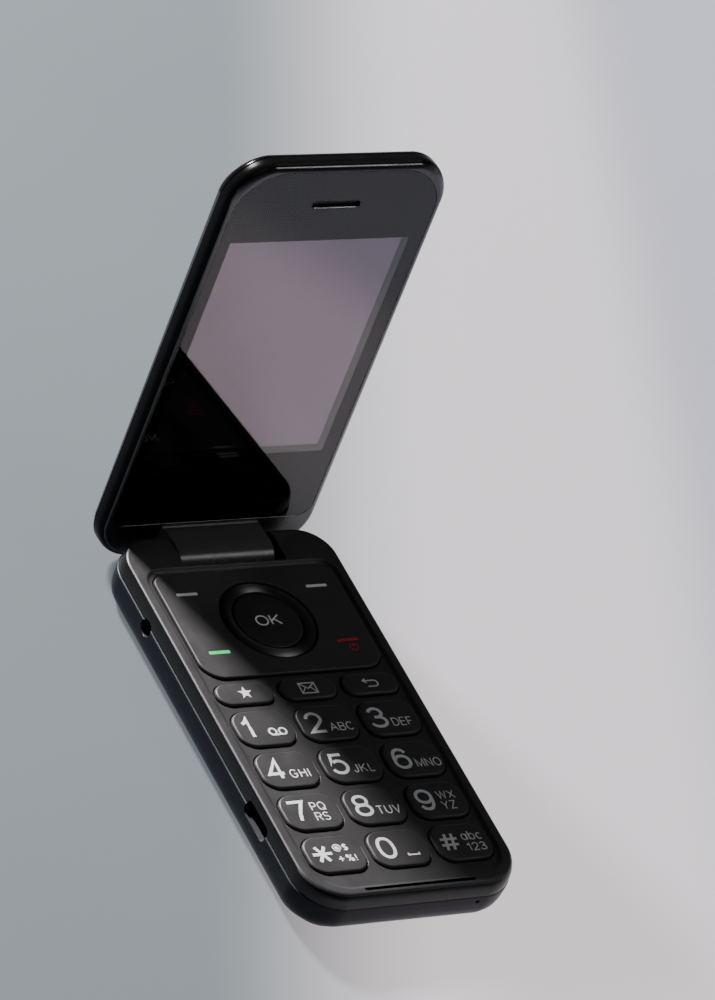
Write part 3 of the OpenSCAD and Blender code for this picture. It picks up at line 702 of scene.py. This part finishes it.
# battery cover
low = [(8.345, 0.42, 0.2), (8.34, 0.30, 0.12), (8.315, 0.20, 0.07), (8.265, 0.12, 0.04), (8.19, 0.055, 0.02), (8.09, 0.015, 0.005), (7.95, 0.0, 0.0), (6.5, 0.03, 0.03), (4.8, 0.15, 0.16), (3.4, 0.42, 0.5),
       (2.3, 0.85, 1.06), (1.45, 1.42, 1.8), (0.8, 2.1, 2.66), (0.38, 2.8, 3.5), (0.12, 3.6, 4.4), (0.0, 4.6, 5.6)]
cover = to_mesh("battery_cover", loft([base_ring(d, z, e) for z, d, e in reversed(low)]))
hollow = [(9.0, 1.15, 1.15), (4.8, 1.25, 1.28), (3.4, 1.5, 1.6), (2.3, 1.95, 2.15), (1.6, 2.6, 2.9), (1.15, 3.4, 3.9), (1.0, 4.6, 5.2)]
hollow = loft([at_z(bowed(outline4(HW, -FREE, HL, RF, RH, d, e, d, 14)), z) for z, d, e in reversed(hollow)])
mic = loft([[(MIC_X + 0.48 * math.cos(a), y, MIC_Z + 0.48 * math.sin(a)) for a in [2 * math.pi * i / 24 for i in range(24)]] for y in (-54.0, -50.0)])
slots = [loft([at_z(rrect(16 + i * 2.2 - 0.5, 27, 16 + i * 2.2 + 0.5, 35, 0.49, 0.49, 5), -1.0), at_z(rrect(16 + i * 2.2 - 0.5, 27, 16 + i * 2.2 + 0.5, 35, 0.49, 0.49, 5), 3.0)]) for i in range(-2, 3)]
notch2 = loft([at_z(rrect(-12.6, 43.1, 12.6, 70, 0.7, 0.7, 6), z) for z in (-3.0, 12.0)])
cover = cut(cover, [hollow, notch2, jack_hole(1.85), usb_cut, mic, join(*slots)])
# Upward faces keep the lighter copy and the rest take the navy plastic: painted highlight along the parting line and
# port bevels.
piece("battery_cover", cover, M_COVER_LIT, "base", ["battery_cover"], second=(M_COVER, (0, 0, 1), 0.3))

# sockets
jack = along_x([(-11.0, 2.4), (-25.1, 2.4), (-25.2, 2.34), (-25.22, 2.2), (-25.12, 2.04), (-24.9, 1.92), (-24.5, 1.83), (-24.1, 1.8), (-11.6, 1.8), (-11.6, 0.02)], JACK_Y, JACK_Z, 64)
jack_block = to_mesh("jb", box(-22.8, JACK_Y - 3, JACK_Z - 2.4, -10.9, JACK_Y + 3, JACK_Z + 2.4))
jack_block = cut(jack_block, [along_x([(-23.5, 2.42), (-11.5, 2.42)], JACK_Y, JACK_Z, 48)])
piece("audio_jack_body", jack_block, M_DARK, "base", ["audio_jack"])
piece("audio_jack_sleeve", jack, M_DARK, "base")

# keys
for name in KEY_AT:
    cx, cy, l, r = KEY_AT[name]
    top = key_top(name)
    edge = 0.55
    count = len(key_outline(name, 0))
    nub = []
    for x, y in key_outline(name, 0):
        a = math.atan2((y - cy) * (KEY_W / l), x - cx)
        nub.append((cx + 1.2 * math.cos(a), cy + 1.2 * math.sin(a)))
    rings = [at_z(nub, 8.2), at_z(nub, 9.5), at_z(key_outline(name, -0.35), 9.5), at_z(key_outline(name, -0.35), 10.1), at_z(key_outline(name, 0.02), 10.12)]
    base_z = min(top(x, y) for x, y in key_outline(name, 0)) - edge
    rings.append(at_z(key_outline(name, 0.0), base_z))
    for i in range(1, 7):
        t = math.pi / 2 * i / 6
        d = edge * (1 - math.cos(t))
        drop = edge * (1 - math.sin(t))
        rings.append([(x, y, top(x, y) - drop) for x, y in key_outline(name, d)])
    most = l / 2 - 0.35
    for k in (0.3, 0.5, 0.72, 0.95):
        d = edge + (most - edge) * k
        rings.append([(x, y, top(x, y)) for x, y in key_outline(name, d)])
    piece(name, loft(rings), M_KEY, name, [name], angle=50)

# direction panel
prings = [at_z(panel_out(0.0), 10.6), at_z(panel_out(0.0), 11.57)]
for i in range(1, 6):
    t = math.pi / 2 * i / 5
    prings.append(at_z(panel_out(0.38 * (1 - math.cos(t))), 11.57 + 0.38 * math.sin(t)))
panel = to_mesh("nav_panel", loft(prings))
panel = cut(panel, [flared(lambda d: circle(0, NAV_Y, RING_R + 0.3 + d, 96), 9.0, 11.95, lip=0.22)])
piece("nav_panel", panel, M_PANEL, "nav_panel", ["nav_panel"])
posts = join(*[turned([(0.0, 8.25), (1.15, 8.25), (1.2, 8.3), (1.2, 10.58), (0.0, 10.58)], x, y, 24) for x in (-16, 16) for y in (17.0, 36.4)])
piece("nav_panel_posts", posts, M_PANEL, "nav_panel")

# ring and centre button
ring_profile = [(8.12, 10.4), (10.78, 10.4), (10.8, 10.45), (10.8, 11.3), (10.78, 11.39), (10.73, 11.46)]
ring_profile += [(9.45 + u / 20, 11.88 - (u / 20) ** 2 / 9) for u in range(24, -25, -3)]
ring_profile += [(8.17, 11.46), (8.13, 11.39), (8.12, 11.3)]
piece("nav_ring", lathe(ring_profile, 0, NAV_Y, 128), M_RING, "nav_ring", ["nav_ring"], angle=45)
ok_profile = [(0.0, 8.25), (1.2, 8.25), (1.2, 10.3), (OK_R - 0.05, 10.3), (OK_R, 10.35), (OK_R, 11.46), (OK_R - 0.04, 11.57), (OK_R - 0.13, 11.66), (OK_R - 0.26, 11.7),
              (OK_R - 0.5, 11.71), (5.0, 11.72), (2.5, 11.725), (0.0, 11.73)]
piece("ok_button", turned(ok_profile, 0, NAV_Y, 128), M_OK, "ok_button", ["ok_button"], angle=45)

# ------------------------------------------------------------------ legends on the keys
flat = lambda z: (lambda x, y: z)
LETTERS = {"key_2": "ABC", "key_3": "DEF", "key_4": "GHI", "key_5": "JKL", "key_6": "MNO", "key_8": "TUV"}
WIDE = {"key_4": 0.22, "key_5": 0.2, "key_6": 0.14, "key_8": 0.16}
PAIRS = {"key_7": ("PQ", "RS"), "key_9": ("WX", "YZ")}
for name, c, r in KEYS:
    cx, cy = KEY_AT[name][:2]
    digit = name[-1]
    big, small = [], []
    if name == "key_star":
        big = glyph("*", cx - 5.75, cy - 2.6, 5.3, 5.3, 0.76)
        small = word("@$", cx - 0.1, cy + 0.35, 2.05, 0.27, 0.14) + word("+%!", cx - 0.1, cy - 2.5, 1.95, 0.3, 0.2)
    elif name == "key_hash":
        big = glyph("#", cx - 5.5, cy - 2.4, 4.9, 5.0, 0.66)
        small = word("abc", cx + 0.3, cy + 0.15, 2.5, 0.26, 0.13) + word("123", cx + 0.5, cy - 2.75, 2.2, 0.26, 0.15)
    elif name == "key_1":
        big = glyph("1", cx - 5.2, cy - 2.75, 2.4, 5.8, 0.8)
        small = strip(oval(cx + 1.35, cy - 1.35, 0.85, 0.85, 2.0, 28), 0.42, True)
        small += strip(oval(cx + 3.75, cy - 1.35, 0.85, 0.85, 2.0, 28), 0.42, True)
        small += strip([(cx + 1.35, cy - 2.2), (cx + 3.75, cy - 2.2)], 0.42, False)
    else:
        big = glyph(digit, cx - 5.15, cy - 2.75, 4.2, 5.8, 0.76)
        if name in LETTERS:
            small = word(LETTERS[name], cx - 0.2, cy - 2.55, 2.32, 0.27, WIDE.get(name, 0.12))
        elif name in PAIRS:
            small = word(PAIRS[name][0], cx + 0.2, cy + 0.0, 2.25, 0.24) + word(PAIRS[name][1], cx + 0.2, cy - 2.8, 2.25, 0.24)
        elif name == "key_0":
            small = strip([(cx + 1.3, cy - 1.75), (cx + 1.3, cy - 2.25), (cx + 3.9, cy - 2.25), (cx + 3.9, cy - 1.75)], 0.36, False)
    printed(name + "_figure", big, key_top(name), M_WHITE, name)
    if small:
        printed(name + "_letters", small, key_top(name), M_WHITE, name)

cx, cy = KEY_AT["key_favourites"][:2]
star = []
for i in range(10):
    a = math.radians(90 + 36 * i)
    rr = 1.75 if i % 2 == 0 else 0.72
    star.append((cx + rr * math.cos(a), cy + rr * math.sin(a)))
printed("key_favourites_star", [star], key_top("key_favourites"), M_WHITE, "key_favourites")
cx, cy = KEY_AT["key_messages"][:2]
env = strip([(cx - 1.9, cy - 1.4), (cx + 1.9, cy - 1.4), (cx + 1.9, cy + 1.4), (cx - 1.9, cy + 1.4)], 0.32, True)
env += strip([(cx - 1.8, cy + 1.3), (cx, cy - 0.15), (cx + 1.8, cy + 1.3)], 0.3, False)
env += strip([(cx - 1.8, cy - 1.3), (cx - 0.55, cy + 0.25)], 0.26, False) + strip([(cx + 1.8, cy - 1.3), (cx + 0.55, cy + 0.25)], 0.26, False)
printed("key_messages_envelope", env, key_top("key_messages"), M_WHITE, "key_messages")
cx, cy = KEY_AT["key_back"][:2]
back = strip([(cx - 1.6, cy + 0.72), (cx + 0.9, cy + 0.72)] + ARC(cx + 0.9, cy - 0.1, 0.85, 0.82, 90, -90, 12) + [(cx - 0.9, cy - 0.92)], 0.34, False)
back += strip([(cx - 0.85, cy + 1.35), (cx - 1.65, cy + 0.72), (cx - 0.85, cy + 0.09)], 0.34, False)
printed("key_back_arrow", back, key_top("key_back"), M_WHITE, "key_back")


def dash(cx, cy, l=5.1, w=0.75):
    return rrect(cx - l / 2, cy - w / 2, cx + l / 2, cy + w / 2, 0.2, 0.2, 3)


# These marks glow through their inks: painted glow, brightest on the green call mark.
printed("soft_key_marks", [dash(-16, 34.7), dash(16, 34.7)], flat(11.95), M_GLOW_INK, "nav_panel")
printed("call_mark", [dash(-16, 17.9, 5.1, 0.85)], flat(11.95), M_GREEN, "nav_panel")
end = [[(13.4, 18.25), (15.0, 18.45), (18.6, 18.5), (18.6, 19.15), (15.0, 19.1), (13.4, 18.95)]]
end += strip(ARC(16.6, 16.7, 0.95, 0.95, 120, 420, 24), 0.24, False) + strip([(16.6, 16.75), (16.6, 17.8)], 0.24, False)
printed("end_mark", end, flat(11.95), M_RED, "nav_panel")
ok = glyph("O", -3.1, NAV_Y - 1.45, 3.1, 2.95, 0.36) + glyph("K", 0.45, NAV_Y - 1.45, 2.6, 2.95, 0.36)
printed("ok_mark", ok, flat(11.722), M_PALE, "ok_button")

# ------------------------------------------------------------------ display half


def lid_pts(d, e=None, n=20, bow_tip=1.85, slim=0.0):
    """Outline of the display half in its own frame, moved in by d, and by e at its tip."""
    pts = outline4(HW, -3.4, TIP, RB, RT, d, d, d if e is None else e, n)
    out = []
    for x, y in pts:
        t = max(0.0, min(1.0, (y - 80) / 21.6))
        t = t * t * (3 - 2 * t)
        s = max(0.0, min(1.0, (18 - y) / 21.4))
        s = s * s * (3 - 2 * s)
        k = slim * max(0.0, min(1.0, (50 - y) / 50))
        out.append((x * (1 - k / HW), y - bow_tip * (x / HW) ** 2 * t + 0.4 * (x / HW) ** 2 * s))
    return out


def lens_pts(d, n=14):
    pts = inset_rr(-24.75, 5.9, 24.75, 99.65, 3.5, 10.2, d, n)
    return [(x, y - 1.7 * (x / 24.75) ** 2 * max(0.0, min(1.0, (y - 80) / 19.5))) for x, y in pts]


fr = [(0.02, 0.12, 0.12), (0.08, 0.03, 0.03), (0.18, 0.0, 0.0), (0.9, 0.0, 0.0), (1.5, 0.02, 0.01), (2.0, 0.07, 0.03), (2.4, 0.17, 0.05), (2.7, 0.32, 0.085), (2.9, 0.48, 0.13), (3.0, 0.59, 0.17),
      (3.08, 0.69, 0.225), (3.15, 0.80, 0.285), (3.22, 0.93, 0.355), (3.28, 1.07, 0.43), (3.33, 1.22, 0.51), (3.37, 1.37, 0.59), (3.4, 1.55, 0.68)]
lid_frame = to_mesh("lid_front_frame", loft([at_z(lid_pts(d, e, bow_tip=1.85 + 2.0 * (max(0.0, z - 1.5) / 1.9) ** 1.5), LID_PART + z) for z, d, e in fr]))
slot_cut = lambda d, n=8: rrect(-5.8 - d, SLOT_Y - 0.75 - d, 5.8 + d, SLOT_Y + 0.75 + d, 0.72 + d, 0.72 + d, n)
lens_seat = loft([at_z(lens_pts(-0.04), FACE - 1.05), at_z(lens_pts(-0.04), FACE - 0.05), at_z(lens_pts(-0.08), FACE), at_z(lens_pts(-0.1), FACE + 1)])
window = box(-22.6, 22.8, LID_PART - 2, 22.6, 81.8, FACE + 2)
ear = loft([at_z(slot_cut(0), LID_PART - 2), at_z(slot_cut(0), FACE + 2)])
back_room = loft([at_z(inset_rr(-HW, 4.6, HW, TIP - 1.2, 3.0, 9.4, 1.4, 10), z) for z in (LID_PART - 1, FACE - 2)])
lid_frame = cut(lid_frame, [lens_seat, back_room, window, ear])
# Faces near the front of the frame keep the lighter rim copy and the rest take the darker copy: painted highlight on
# the rim, painted shade on the sides.
piece("lid_front_frame", lid_frame, M_RIM_LIT, "lid", ["lid_front_frame"], xf=LID, second=(M_FRAME_SHADED, LID.to_3x3() @ Vector((0, 0.35, 1)), 0.85))

# lens, its print, and the screen
lr = [at_z(lens_pts(0.06), FACE - 1.0), at_z(lens_pts(0.0), FACE - 0.94), at_z(lens_pts(0.0), FACE - 0.08), at_z(lens_pts(0.02), FACE - 0.04), at_z(lens_pts(0.06), FACE - 0.02)]
lens = cut(to_mesh("display_lens", loft(lr)), [loft([at_z(slot_cut(0.02), FACE - 2), at_z(slot_cut(0.02), FACE - 0.14), at_z(slot_cut(0.12), FACE - 0.01), at_z(slot_cut(0.14), FACE + 1)])])
piece("display_lens", lens, M_GLASS, "lid", ["display_lens"], xf=LID)
pr = to_mesh("lens_print", loft([at_z(lens_pts(0.05), FACE - 1.04), at_z(lens_pts(0.05), FACE - 0.98)]))
pr = cut(pr, [loft([at_z(rrect(-WIN_HW, WIN_0, WIN_HW, WIN_1, 0.15, 0.15, 3), z) for z in (FACE - 2, FACE)]), loft([at_z(slot_cut(0.02), z) for z in (FACE - 2, FACE)])])
piece("lens_print", pr, M_PRINT, "lid", xf=LID)
yc = (WIN_0 + WIN_1) / 2
lcd = loft([at_z(rrect(-23.6, WIN_0 - 5.4, 23.6, WIN_1 + 3.0, 0.3, 0.3, 3), z) for z in (FACE - 3.1, FACE - 2.16, FACE - 2.12)])
piece("lcd_panel", lcd, M_LCDB, "lid", ["lcd_panel"], xf=LID)
act = loft([at_z(rrect(-WIN_HW + 0.1 + d, WIN_0 + 0.1 + d, WIN_HW - 0.1 - d, WIN_1 - 0.1 - d, 0.1, 0.1, 2), z) for z, d in ((FACE - 2.12, 0), (FACE - 2.09, 0.0), (FACE - 2.08, 0.02))])
piece("lcd_active_area", act, M_LCD, "lid", xf=LID)

# rear shell
sh = [(LID_PART - 0.04, 0.14, 0.14), (LID_PART - 0.10, 0.04, 0.04), (LID_PART - 0.2, 0.0, 0.0), (LID_PART - 0.6, 0.03, 0.06), (LID_PART - 0.9, 0.08, 0.17), (LID_PART - 1.2, 0.16, 0.34),
      (LID_PART - 1.5, 0.30, 0.60), (LID_PART - 2.0, 0.74, 1.22), (LID_PART - 2.4, 1.34, 1.9), (LID_PART - 2.72, 2.1, 2.65), (LID_PART - 2.95, 3.0, 3.45), (LID_PART - 3.1, 4.1, 4.4),
      (LID_PART - 3.18, 5.4, 5.5), (LID_BACK + 0.005, 7.2, 7.2)]
shell = to_mesh("lid_rear_shell", loft([at_z(lid_pts(d, e, slim=0.5 * max(0.0, min(1.0, (LID_PART - z - 0.2) / 0.8))), z) for z, d, e in reversed(sh)]))
room = [(LID_PART + 1, 1.4, 1.6), (LID_PART - 1.2, 1.6, 2.2), (LID_PART - 1.8, 2.3, 3.2), (LID_BACK + 1.0, 4.2, 5.0)]
room = loft([at_z(lid_pts(d, e, 12), z) for z, d, e in reversed(room)])
CAM = (-14.0, SLOT_Y - 1.0)
cam_hole = turned([(0.0, LID_BACK - 1), (4.35, LID_BACK - 1), (4.3, LID_BACK), (4.12, LID_BACK + 0.16), (4.1, LID_BACK + 0.85), (2.4, LID_BACK + 0.85), (2.4, LID_BACK + 3), (0.0, LID_BACK + 3)], *CAM, 64)
shell = cut(shell, [room, cam_hole])
piece("lid_rear_shell", shell, M_SHELL, "lid", ["lid_rear_shell"], xf=LID)
cam = turned([(0.0, LID_BACK + 0.82), (4.0, LID_BACK + 0.82), (4.04, LID_BACK + 0.7), (4.04, LID_BACK + 0.14), (3.95, LID_BACK + 0.06), (3.8, LID_BACK + 0.03), (0.0, LID_BACK + 0.03)], *CAM, 64)
piece("camera_window", cam, M_CAMGLASS, "lid", ["camera_window"], xf=LID)
bez = lathe([(2.45, LID_BACK + 0.86), (4.0, LID_BACK + 0.86), (4.0, LID_BACK + 0.9), (2.35, LID_BACK + 0.96), (2.3, LID_BACK + 0.9)], *CAM, 64)
piece("camera_bezel", bez, M_STEEL, "lid", xf=LID)

# barrel with its neck
prof = [(5.65, FACE), (5.65, -2.4)] + [(BAR_R * math.cos(math.radians(a)), BAR_R * math.sin(math.radians(a))) for a in range(0, 236, 4)]
prof += [(-3.0, -4.9), (-3.0, FACE)]
kn = []
for x, d in ((-BAR_HW, 0.62), (-BAR_HW + 0.05, 0.40), (-BAR_HW + 0.18, 0.2), (-BAR_HW + 0.38, 0.06), (-BAR_HW + 0.62, 0.0)):
    kn.append([(x, p, q) for p, q in offset_poly(prof, d)])
kn += [[(-r[0][0], p[1], p[2]) for p in r] for r in reversed(kn)]
knuckle = to_mesh("hinge_knuckle", loft(kn))
knuckle = cut(knuckle, [along_x([(-14, 3.0), (-1.9, 3.0)], 0, 0), along_x([(2, 1.92), (14, 1.92)], 0, 0), box(-40, -40, FACE - 10, 40, 40, FACE + 0.01),
                        loft([[(x, p, q) for p, q in ((7.0, FACE - 1.0), (5.53, FACE - 1.0), (5.53, FACE + 0.30), (5.61, FACE + 0.42), (5.62, FACE + 0.56), (5.36, FACE + 0.86), (5.36, FACE + 0.98), (5.54, FACE + 1.7), (5.64, FACE + 2.8), (7.0, FACE + 2.9))] for x in (40, -40)])])
# Faces that point up take the lighter matte copy: painted light on the knuckle's top.
piece("hinge_knuckle", knuckle, M_KNUCKLE, "lid", ["hinge_knuckle"], xf=LID, second=(M_KNUCKLE_TOP_LIT, (0, 0, -1), -0.93))

# ------------------------------------------------------------------ carried-over CAD nodes
CARRY = {
    "base_chassis": M_DARK, "battery": M_CELL, "main_board": M_BOARD, "lid_board": M_BOARD, "shield_cans": M_STEEL, "sim_reader": M_STEEL,
    "microphone": M_STEEL, "vibration_motor": M_STEEL, "base_screws": M_STEEL, "lid_screws": M_STEEL, "hinge_module": M_STEEL, "hinge_pin": M_STEEL,
    "usb_socket": M_PORT, "closing_magnet": M_STEEL, "dome_sheet": M_FILM, "keypad_web": M_SILICONE, "panel_fulcrum": M_SILICONE, "ring_fulcrum": M_SILICONE,
    "loudspeaker": M_DARK, "earpiece": M_DARK, "camera_module": M_DARK, "hinge_harness": M_DARK, "earpiece_mesh": M_DARK,
    "battery_contacts": M_BRASS, "antenna": M_BRASS, "harness_connector": M_CONN, "backlight": M_CONN,
}
for node, mat in CARRY.items():
    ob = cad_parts[node]
    ob.data.materials.clear()
    ob.data.materials.append(mat)

# ------------------------------------------------------------------ floor, light, camera
m, nt, bsdf, co = nodes_of("floor_paper")
t = noise(nt, co, 9.0, 4.0)
r = ramp(nt, t.outputs["Fac"], (0.084, 0.096, 0.104), (0.090, 0.102, 0.110))
nt.links.new(r.outputs["Color"], bsdf.inputs["Base Color"])
bsdf.inputs["Roughness"].default_value = 0.9
bsdf.inputs["Specular IOR Level"].default_value = 0.1
# Painted light on the floor: the emission is brighter to the right of and in front of the phone, dim to its left and
# behind it, and dimmed again further out; this glowing pool lifts the lid's shadow on the floor and brightens what the
# lens reflects.
d = nt.nodes.new("ShaderNodeVectorMath")
d.operation = "DOT_PRODUCT"
d.inputs[1].default_value = (0.9, -0.436, 0.0)
nt.links.new(co.outputs["Object"], d.inputs[0])
g = nt.nodes.new("ShaderNodeMapRange")
g.interpolation_type = "SMOOTHSTEP"
g.inputs["From Min"].default_value = -0.022
g.inputs["From Max"].default_value = 0.036
nt.links.new(d.outputs["Value"], g.inputs["Value"])
r = ramp(nt, g.outputs["Result"], (0.150, 0.172, 0.187), (1.02, 0.92, 0.97), 0.0, 1.0)
d = nt.nodes.new("ShaderNodeVectorMath")
d.operation = "DOT_PRODUCT"
d.inputs[1].default_value = (0.943, -0.333, 0.0)
nt.links.new(co.outputs["Object"], d.inputs[0])
g = nt.nodes.new("ShaderNodeMapRange")
g.interpolation_type = "SMOOTHSTEP"
g.inputs["From Min"].default_value = 0.086
g.inputs["From Max"].default_value = 0.120
nt.links.new(d.outputs["Value"], g.inputs["Value"])
x = nt.nodes.new("ShaderNodeMix")
x.data_type = "RGBA"
x.blend_type = "MULTIPLY"
nt.links.new(g.outputs["Result"], x.inputs[0])
nt.links.new(r.outputs["Color"], x.inputs[6])
x.inputs[7].default_value = (0.58, 0.62, 0.70, 1.0)
nt.links.new(x.outputs[2], bsdf.inputs["Emission Color"])
bsdf.inputs["Emission Strength"].default_value = 1.0
me = bpy.data.meshes.new("floor")
me.from_pydata([(-6, -6, -0.0002), (6, -6, -0.0002), (6, 6, -0.0002), (-6, 6, -0.0002)], [], [(0, 1, 2, 3)])
me.materials.append(m)
floor = bpy.data.objects.new("floor", me)
bpy.context.scene.collection.objects.link(floor)


def area(name, loc, target, size, power, color=(1, 1, 1), size_y=None):
    li = bpy.data.lights.new(name, "AREA")
    li.shape = "RECTANGLE"
    li.size = size
    li.size_y = size_y or size
    li.energy = power
    li.color = color
    ob = bpy.data.objects.new(name, li)
    ob.location = loc
    d = Vector(target) - Vector(loc)
    ob.rotation_euler = d.to_track_quat("-Z", "Y").to_euler()
    bpy.context.scene.collection.objects.link(ob)
    return ob


C = Vector((0, 0.02, 0.04))
area("key", C + 1.02 * Vector((-0.2236, 0.788, 0.5736)), C, 0.135, 39.0, (1.0, 0.97, 0.97))
area("rim", C + 1.2 * Vector((0.5436, -0.25, 0.80)), C, 0.20, 1.05, (1.0, 0.97, 0.98))
area("top", C + 1.2 * Vector((0.54, 0.15, 0.828)), C, 0.30, 0.45)

world = bpy.data.worlds.new("studio")
bpy.context.scene.world = world
world.use_nodes = True
bg = world.node_tree.nodes["Background"]
nt = world.node_tree
co = nt.nodes.new("ShaderNodeTexCoord")
sp = nt.nodes.new("ShaderNodeSeparateXYZ")
nt.links.new(co.outputs["Generated"], sp.inputs["Vector"])
r = ramp(nt, sp.outputs["Z"], (0.27, 0.31, 0.34), (0.018, 0.019, 0.021), 0.08, 0.34)
nt.links.new(r.outputs["Color"], bg.inputs["Color"])
bg.inputs["Strength"].default_value = 1.0

cam_data = bpy.data.cameras.new("camera")
cam_data.sensor_fit = "AUTO"
cam_data.sensor_width = 36.0
cam_data.lens = 237.57
cam_data.clip_start = 0.05
cam_data.clip_end = 20
cam_ob = bpy.data.objects.new("camera", cam_data)
right = Vector((0.83774858, -0.41639711, 0.35325738))
up = Vector((0.05127709, 0.70405517, 0.70829159))
fwd = Vector((0.54364325, 0.57525627, -0.61117284))
mat = Matrix((right, up, -fwd)).transposed().to_4x4()
mat.translation = Vector((-0.73224, -0.75668, 0.87822))
cam_ob.matrix_world = mat
bpy.context.scene.collection.objects.link(cam_ob)
bpy.context.scene.camera = cam_ob
